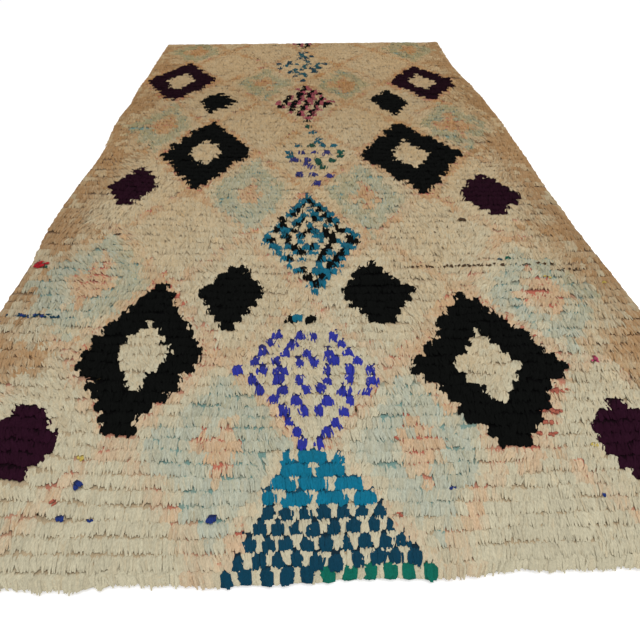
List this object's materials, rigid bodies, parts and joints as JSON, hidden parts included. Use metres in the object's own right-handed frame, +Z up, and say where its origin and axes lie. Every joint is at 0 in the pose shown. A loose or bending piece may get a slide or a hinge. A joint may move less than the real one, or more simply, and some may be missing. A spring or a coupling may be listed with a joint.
{
  "type": "runner rug",
  "caption": "Long narrow hand-knotted wool rug lying flat, with leaning rows of pile in a diamond lattice, uneven sides and short flat-woven ends.",
  "frame": {"origin": "middle of the rug, on the surface it lies on", "axes": "+X across the rug to the right, +Y along its length towards the far end, +Z up"},
  "size_m": [1.0232, 2, 0.0162],
  "materials": {
    "cream_wool": "matt hand-spun wool pile",
    "peach_wool": "matt wool pile, faded at the tips",
    "pale_blue_wool": "matt wool pile, faded at the tips",
    "black_wool": "matt wool pile",
    "aubergine_wool": "matt wool pile",
    "bright_wool": "matt wool pile in several bright dyes",
    "ground_weave": "matt plain-woven wool"
  },
  "bodies": {
    "root": {"rug": "cream_wool"}
  },
  "joints": []
}
